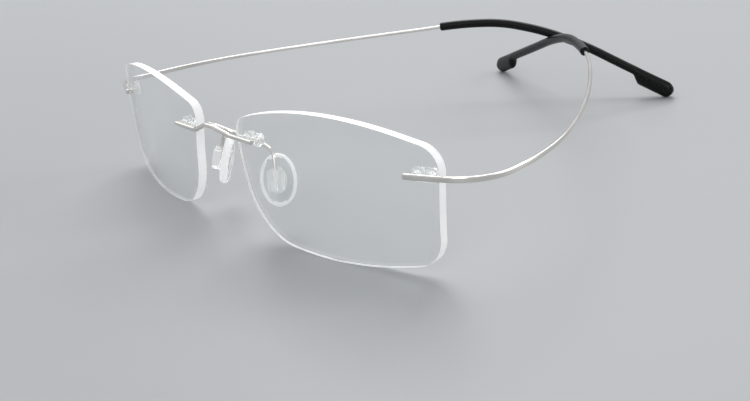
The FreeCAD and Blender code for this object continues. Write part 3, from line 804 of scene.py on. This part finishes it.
@dataclass
class Bushings:
    """Clear double bushings and the titanium pins inside them."""

    edge: float = 0.16
    edge_steps: int = 3

    def build(self, side: Side, where: str) -> bpy.types.Object:
        """Make one double bushing with softly moulded edges.

        Args:
            side: which lens it sits in.
            where: nasal or outer.

        Returns:
            The bushing.
        """
        node = f"{side.label}_{where}_bushing"
        plug = softened(node, self.edge, self.edge_steps)
        settle(plug, Crease.MOULDED)
        # The bushing's clear plastic carries a faint painted white glow.
        POLYCARBONATE_PAINTED_GLOW.dress(plug)
        place(plug, f"{side.label}_{where}_plug", "front", "clear_plastic", node)
        return plug

    def dress_pins(self) -> None:
        """Give the CAD pins their satin titanium."""
        for node in ("bridge_pins", "left_end_pins", "right_end_pins"):
            SATIN_TITANIUM.dress(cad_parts[node])
            log.info("%s dressed", node)


# ---------------------------------------------------------------- nose pads

@dataclass
class NosePad:
    """A silicone pad round a hard insert whose clip turns on the arm's rod.

    The pad is a thin web inside a rounded rim, with a pocket in its back for the insert.
    Its turn and lean are in degrees and its sizes in millimetres. One size is the width of
    the rim band that shows white, from its cloudiness and a painted white glow.
    """

    length: float = 11.0
    width: float = 7.7
    thickness: float = 1.9
    turn: float = 47.0
    lean: float = 19.0
    pocket_length: float = 5.64
    pocket_width: float = 4.04
    pocket_depth: float = 0.72
    rod_depth: float = 1.6
    rod_above: float = 6.0
    rod_below: float = 1.0
    clip_edge: float = 0.14
    clip_edge_steps: int = 3
    rim: float = 0.8
    rim_steps: int = 8
    haze_and_glow_band: float = 0.5
    hub: float = 0.4
    pocket_lip: float = 0.05
    back_rise: float = 0.12
    back_shares: tuple[float, ...] = (0.55, 0.8)
    web_sink: float = 0.2
    web_shares: tuple[float, ...] = (0.72, 0.5, 0.3, 0.12)
    facets: int = 56

    def placement(self, side: Side) -> Matrix:
        """Frame of a pad, in millimetres: +Y faces the nose and +Z runs up the pad.

        Args:
            side: which pad.

        Returns:
            The matrix from the pad's own frame to the row frame.
        """
        turn, lean = math.radians(self.turn), math.radians(self.lean)
        face = Vector((-side.sign * math.cos(turn) * math.cos(lean),
                       math.sin(turn) * math.cos(lean), -math.sin(lean)))
        up = (Vector((0, 0, 1)) - face * face.z).normalized()
        across = face.cross(up)
        low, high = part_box(f"{side.label}_nose_pad")
        middle = (low + high) / 2 / MM
        turned = Matrix((across, face, up)).transposed().to_4x4()
        return Matrix.Translation(middle) @ turned

    def sections(self) -> list[Ring]:
        """Rings of the pad along its thickness, from the back of the insert's pocket to
        the middle of the front: a thin web inside a rounded rim.

        Returns:
            The rings.
        """
        half = self.thickness / 2
        floor = -half + self.pocket_depth
        flare = 2 * self.pocket_lip
        rings = [Ring(floor, self.hub, self.hub * self.pocket_width / self.pocket_length),
                 Ring(floor, self.pocket_length, self.pocket_width),
                 Ring(-half + self.pocket_lip, self.pocket_length, self.pocket_width),
                 Ring(-half, self.pocket_length + flare, self.pocket_width + flare)]
        for share in self.back_shares:
            rings.append(Ring(-half + self.back_rise * share,
                              self.back_size(share, self.pocket_length, self.length),
                              self.back_size(share, self.pocket_width, self.width)))
        for step in range(self.rim_steps + 1):
            angle = -math.pi / 2 + math.pi * step / self.rim_steps
            out = 2 * self.rim * (1 - math.cos(angle))
            rings.append(Ring(half * math.sin(angle), self.length - out,
                              self.width - out))
        for share in self.web_shares:
            sink = self.web_sink * (1 - share)
            rings.append(Ring(half - sink, self.length * share, self.width * share))
        return rings

    def back_size(self, share: float, pocket: float, full: float) -> float:
        """Length or width of a back ring, a share of the way from the pocket to the rim."""
        return pocket + (full - 2 * self.rim - pocket) * share

    def build(self, side: Side) -> bpy.types.Object:
        """Mould one pad.

        Args:
            side: which pad.

        Returns:
            The pad.
        """
        pad = draw_bar(self.sections(), facets=self.facets)
        SILICONE.dress(pad)
        # The outer band of the rim gets the second material, cloudier and with a painted
        # white glow.
        pad.data.materials.append(SILICONE_RIM_PAINTED_GLOW.material())
        for face in pad.data.polygons:
            out = math.hypot(face.center.z / self.length, face.center.y / self.width)
            face.material_index = int(out > 0.5 - self.haze_and_glow_band / self.width)
        turned = Matrix(((0, 1, 0, 0), (1, 0, 0, 0), (0, 0, 1, 0), (0, 0, 0, 1)))
        pad.data.transform(self.placement(side) @ turned)
        settle(pad, Crease.ROUNDED)
        place(pad, f"{side.label}_silicone_pad", f"{side.label}_pad", "silicone",
              f"{side.label}_nose_pad")
        return pad

    def build_clip(self, side: Side) -> bpy.types.Object:
        """Make the hard insert and its clip.

        Args:
            side: which pad.

        Returns:
            The clip.
        """
        node = f"{side.label}_pad_clip"
        clip = softened(node, self.clip_edge, self.clip_edge_steps)
        settle(clip, Crease.MOULDED)
        # The clip's clear plastic carries a faint painted white glow.
        POLYCARBONATE_PAINTED_GLOW.dress(clip)
        place(clip, f"{side.label}_clear_clip", f"{side.label}_pad", "clear_plastic", node)
        return clip


# ---------------------------------------------------------------- temples

@dataclass
class Temple:
    """One springy temple: a flat strip at the lens that tapers to a round wire, with a
    soft sleeve that ends in a flattened paddle.

    Its line in plan is given by the direction of each run of the wire and the sleeve, in
    degrees, and its height by the wire's sag and fall and the sleeve's falls. Sizes are in
    millimetres. The tip_ends round off the strip's tip: how far along, and how much less.
    """

    side: Side
    strip: list[Vector]
    wire_headings: list[float]
    sleeve_headings: list[float]
    falls: list[float]
    ground: float
    wire_run: float = 9.0
    sleeve_run: float = 10.7
    sag: float = 0.56
    fall: float = 0.2
    strip_bend: float = 8.5
    flex_bend: float = 22.0
    tall: float = 1.15
    thick: float = 0.85
    rounding: float = 0.3
    tip_ends: tuple[tuple[float, float], ...] = ((0.0, 0.24), (0.05, 0.1), (0.14, 0.02))
    tip: float = 0.3
    strip_step: float = 0.6
    taper_step: float = 0.9
    wire_step: float = 1.0
    wire: float = 0.8
    taper_runs: int = 3
    core_short: float = 4.0
    sleeve: float = 2.1
    sleeve_gap: float = 0.06
    sleeve_step: float = 0.9
    sleeve_facets: int = 32
    mouth: float = 0.35
    mouth_steps: int = 4
    mouth_lip: float = 0.02
    mouth_depth: float = 0.5
    paddle_tall: float = 4.0
    paddle_thick: float = 2.4
    paddle_length: float = 9.0
    neck: float = 2.4
    neck_steps: int = 6
    end_steps: int = 8
    end_thick: float = 0.35
    route: Route = field(init=False)

    def __post_init__(self) -> None:
        """Lay out the temple's whole route, from the strip's tip to the paddle's."""
        flex = self.strip[-1]
        points = [flex]
        runs = len(self.wire_headings)
        for number, heading in enumerate(self.wire_headings, start=1):
            spot = points[-1] + self.step(heading, self.wire_run)
            share = number / runs
            spot.z = flex.z - self.fall * share - self.sag * 4 * share * (1 - share)
            points.append(spot)
        start = points[-1].copy()
        for heading, share in zip(self.sleeve_headings, self.falls):
            spot = points[-1] + self.step(heading, self.sleeve_run)
            spot.z = start.z - share * (start.z - self.ground)
            points.append(spot)
        radii = easy_radii(points)
        middle = (points[runs] + points[runs + 1]) / 2
        points.insert(runs + 1, middle)
        radii.insert(runs, 0.0)
        self.route = Route(self.strip[:-1] + points,
                           [self.strip_bend, self.flex_bend] + radii)
        self.route.knots()

    def step(self, heading: float, length: float) -> Vector:
        """Plan step of one run, from its heading in degrees."""
        angle = math.radians(heading)
        return Vector((self.side.sign * math.cos(angle), math.sin(angle), 0)) * length

    @property
    def label(self) -> str:
        """Name of the temple's side."""
        return self.side.label

    @property
    def flex_mark(self) -> float:
        """Distance from the strip's tip to the flex point."""
        return self.route.marks[len(self.strip) - 1]

    @property
    def sleeve_mark(self) -> float:
        """Distance from the strip's tip to the mouth of the sleeve."""
        return self.route.marks[len(self.strip) + len(self.wire_headings)]

    def build_spring(self) -> bpy.types.Object:
        """Draw the strip and the wire as one straight bar and bend it.

        Returns:
            The temple's metal.
        """
        taper_end = self.route.marks[len(self.strip) - 1 + self.taper_runs]
        end = self.route.length - self.core_short
        rings = [Ring(along, self.tall - less, self.thick - less)
                 for along, less in self.tip_ends]
        for along in spaced(self.tip, self.flex_mark, self.strip_step):
            rings.append(Ring(along, self.tall, self.thick))
        for along in spaced(self.flex_mark, taper_end, self.taper_step)[1:]:
            share = (along - self.flex_mark) / (taper_end - self.flex_mark)
            rings.append(Ring(along, self.tall + (self.wire - self.tall) * share,
                              self.thick + (self.wire - self.thick) * share,
                              roundness=share ** 2))
        for along in spaced(taper_end, end, self.wire_step)[1:]:
            rings.append(Ring(along, self.wire, self.wire, roundness=1.0))
        bar = draw_bar(rings, corner=self.rounding)
        self.route.bend(bar)
        settle(bar, Crease.ROUNDED)
        TITANIUM.dress(bar)
        place(bar, f"{self.label}_temple_spring", "", "titanium",
              f"{self.label}_end_piece", f"{self.label}_temple")
        f"{self.label}_temple"
        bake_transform(bar)
        return bar

    def sleeve_rings(self) -> list[Ring]:
        """Sections of the sleeve, from its mouth to the paddle's round end.

        Returns:
            The rings.
        """
        start, tip = self.sleeve_mark, self.route.length
        paddle = tip - self.paddle_length
        bore = self.wire + self.sleeve_gap
        rings = [Ring(start + self.mouth_depth, bore, bore),
                 Ring(start + self.mouth_lip, bore, bore)]
        for turn in range(self.mouth_steps + 1):
            angle = math.pi / 2 * turn / self.mouth_steps
            shrink = self.mouth * (1 - math.sin(angle))
            size = self.sleeve - 2 * shrink
            rings.append(Ring(start + self.mouth * (1 - math.cos(angle)), size, size))
        for along in spaced(start + self.mouth, paddle, self.sleeve_step)[1:]:
            rings.append(Ring(along, self.sleeve, self.sleeve))
        drop = (self.paddle_tall - self.sleeve) / 2
        for index in range(1, self.neck_steps + 1):
            share = index / self.neck_steps
            ease = share * share * (3 - 2 * share)
            rings.append(Ring(paddle + self.neck * share,
                              self.sleeve + (self.paddle_tall - self.sleeve) * ease,
                              self.sleeve + (self.paddle_thick - self.sleeve) * ease,
                              -drop * ease))
        for along in spaced(paddle + self.neck, tip, self.sleeve_step)[1:]:
            rings.append(Ring(along, self.paddle_tall, self.paddle_thick, -drop))
        radius = self.paddle_tall / 2
        for turn in range(1, self.end_steps):
            angle = math.pi / 2 * turn / self.end_steps
            fullness = math.sqrt(math.cos(angle))
            share = self.end_thick + (1 - self.end_thick) * fullness
            rings.append(Ring(tip + radius * math.sin(angle),
                              self.paddle_tall * math.cos(angle),
                              self.paddle_thick * share, -drop))
        return rings

    def build_sleeve(self) -> bpy.types.Object:
        """Mould the sleeve straight and bend it over the wire.

        Returns:
            The sleeve.
        """
        sleeve = draw_bar(self.sleeve_rings(), facets=self.sleeve_facets)
        self.route.bend(sleeve)
        settle(sleeve, Crease.ROUNDED)
        RUBBER.dress(sleeve)
        place(sleeve, f"{self.label}_soft_sleeve", f"{self.label}_temple", "sleeve",
              f"{self.label}_temple_sleeve")
        return sleeve


# ---------------------------------------------------------------- studio

@dataclass(frozen=True)
class SoftBox:
    """A square lamp that faces the glasses: place and side in metres, power in watts."""

    name: str
    spot: Spot
    size: float
    power: float

    def hang(self) -> None:
        """Hang the lamp."""
        data = bpy.data.lights.new(self.name, "AREA")
        data.size = self.size
        data.energy = self.power
        lamp = bpy.data.objects.new(self.name, data)
        bpy.context.scene.collection.objects.link(lamp)
        lamp.location = self.spot
        lamp.rotation_euler = Vector(self.spot).to_track_quat("Z", "Y").to_euler()


SOFT_BOXES = (
    SoftBox("key_box", (-0.45, 0.45, 0.72), 0.7, 5.0),
    SoftBox("side_box", (-0.7, -0.1, 0.5), 0.5, 0.6),
    SoftBox("fill_box", (0.6, -0.7, 0.6), 0.6, 2.0),
    SoftBox("rim_box", (0.5, 0.6, 0.35), 0.35, 1.2))


@dataclass
class Studio:
    """Pale floor, soft light and the camera."""

    focal: float = 59.952
    eye: Vector = field(default_factory=lambda: Vector((223.840, -167.951, 97.111)))
    yaw: float = 54.453
    pitch: float = 23.345
    roll: float = -8.840
    shift: tuple[float, float] = (-0.0514, 0.0552)
    sensor: float = 36.0
    nearest: float = 0.01
    floor_size: float = 6.0
    floor_colour: str = "#BCBEC0"
    floor_roughness: float = 0.4
    floor_gloss: float = 0.25
    light: tuple[tuple[float, str], ...] = (
        (0.0, "#8C8E90"), (0.35, "#9FA1A3"), (0.7, "#DADCDE"), (1.0, "#F2F3F4"))
    light_strength: float = 0.6
    backdrop: tuple[tuple[float, str], ...] = ((0.0, "#BEC0C2"), (1.0, "#E2E4E6"))

    def build_camera(self) -> None:
        """Stand the camera where it looks at the glasses."""
        yaw, pitch = math.radians(self.yaw), math.radians(self.pitch)
        roll = math.radians(self.roll)
        ahead = Vector((-math.sin(yaw) * math.cos(pitch), math.cos(yaw) * math.cos(pitch),
                        -math.sin(pitch)))
        level = Vector((math.cos(yaw), math.sin(yaw), 0))
        upright = level.cross(ahead)
        right = level * math.cos(roll) + upright * math.sin(roll)
        up = upright * math.cos(roll) - level * math.sin(roll)
        data = bpy.data.cameras.new("camera")
        data.lens = self.focal
        data.sensor_width = self.sensor
        data.shift_x, data.shift_y = self.shift
        data.clip_start = self.nearest
        camera = bpy.data.objects.new("camera", data)
        bpy.context.scene.collection.objects.link(camera)
        turned = Matrix((right, up, -ahead)).transposed().to_4x4()
        camera.matrix_world = Matrix.Translation(self.eye * MM) @ turned
        bpy.context.scene.camera = camera

    def build_floor(self) -> None:
        """Lay the plain pale floor."""
        bpy.ops.object.select_all(action="DESELECT")
        bpy.ops.mesh.primitive_plane_add(size=self.floor_size)
        floor = bpy.context.object
        floor.name = "floor"
        material = bpy.data.materials.new("pale_laminate")
        material.use_nodes = True
        surface = material.node_tree.nodes["Principled BSDF"]
        surface.inputs["Roughness"].default_value = self.floor_roughness
        surface.inputs["Specular IOR Level"].default_value = self.floor_gloss
        surface.inputs["Base Color"].default_value = linear(self.floor_colour)
        floor.data.materials.append(material)

    def build_world(self) -> None:
        """Light the glasses from soft grey surroundings, brighter overhead than at the
        sides, and show a pale backdrop directly, in gloss and through clear pieces."""
        world = bpy.data.worlds.new("studio")
        world.use_nodes = True
        bpy.context.scene.world = world
        tree = world.node_tree
        tree.nodes.clear()
        where = add_node(tree, "ShaderNodeTexCoord")
        split = add_node(tree, "ShaderNodeSeparateXYZ",
                         links={"Vector": where.outputs["Generated"]})
        shade = add_node(tree, "ShaderNodeValToRGB", links={"Fac": split.outputs["Z"]})
        set_ramp(shade, self.light)
        light = add_node(tree, "ShaderNodeBackground",
                         inputs={"Strength": self.light_strength},
                         links={"Color": shade.outputs["Color"]})
        backdrop = add_node(tree, "ShaderNodeValToRGB", links={"Fac": split.outputs["Z"]})
        set_ramp(backdrop, self.backdrop)
        seen = add_node(tree, "ShaderNodeBackground", inputs={"Strength": 1.0},
                        links={"Color": backdrop.outputs["Color"]})
        path = add_node(tree, "ShaderNodeLightPath")
        direct = path.outputs["Is Camera Ray"]
        for kind in ("Is Glossy Ray", "Is Transmission Ray"):
            either = add_node(tree, "ShaderNodeMath", {"operation": "MAXIMUM"})
            tree.links.new(direct, either.inputs[0])
            tree.links.new(path.outputs[kind], either.inputs[1])
            direct = either.outputs["Value"]
        mix = add_node(tree, "ShaderNodeMixShader", links={"Fac": direct})
        tree.links.new(light.outputs["Background"], mix.inputs[1])
        tree.links.new(seen.outputs["Background"], mix.inputs[2])
        add_node(tree, "ShaderNodeOutputWorld", links={"Surface": mix.outputs["Shader"]})

    def build(self) -> None:
        """Set up the whole studio."""
        self.build_camera()
        self.build_floor()
        self.build_world()
        for box in SOFT_BOXES:
            box.hang()
        bpy.context.scene.view_settings.view_transform = "Standard"


# ---------------------------------------------------------------- assembly

def clear_table() -> None:
    """Remove whatever a new file brings with it."""
    for name in ("Cube", "Light", "Camera"):
        item = bpy.data.objects.get(name)
        if item is not None:
            bpy.data.objects.remove(item)


# What the two strips share: tip, corner at the lens edge and flex point, in millimetres,
# with the distance sideways counted from the middle.
STRIP = ((53.963, -46.725, 19.924), (66.233, -41.998, 19.800), (66.923, -33.948, 18.641))


def hold(side: Side, wire_headings: list[float], sleeve_headings: list[float],
         falls: list[float], ground: float) -> Temple:
    """Lay out one temple on its side of the front.

    Args:
        side: which temple.
        wire_headings: plan direction of each run of the wire, in degrees.
        sleeve_headings: the same for the sleeve.
        falls: share of the sleeve's whole fall at the end of each of its runs.
        ground: height of the sleeve's line at its tip.

    Returns:
        The temple.
    """
    strip = [Vector((side.sign * across, back, height)) for across, back, height in STRIP]
    return Temple(side, strip, wire_headings, sleeve_headings, falls, ground)


def temples() -> list[Temple]:
    """The two temples, which rest a little differently.

    Returns:
        The left and the right temple.
    """
    left = hold(Side.LEFT, [97.4, 109.0, 117.6, 123.2, 126.7, 129.8, 132.8, 136.6],
                [142.4, 150.4, 157.7, 162.3, 163.8, 163.9],
                [0.029, 0.043, 0.223, 0.485, 0.742, 1.0], 2.890)
    right = hold(Side.RIGHT, [97.7, 108.9, 117.8, 124.0, 128.0, 130.7, 133.2, 136.3],
                 [140.4, 145.7, 151.8, 157.3, 161.0, 163.5],
                 [-0.038, -0.02, 0.136, 0.381, 0.707, 1.0], 2.874)
    return [left, right]


def main() -> None:
    """Build the studio, then the glasses from the lenses back to the sleeves."""
    clear_table()
    Studio().build()
    lenses = Lenses()
    bridge = Bridge()
    bushings = Bushings()
    pad = NosePad()
    bridge.build_bar()
    for side in Side:
        lenses.build(side)
        bushings.build(side, "nasal")
        bushings.build(side, "outer")
        bridge.build_arm(side, pad)
        bridge.build_braze(side)
        pad.build(side)
        pad.build_clip(side)
    bushings.dress_pins()
    for temple in temples():
        temple.build_spring()
        temple.build_sleeve()


if __name__ == "__main__":
    main()
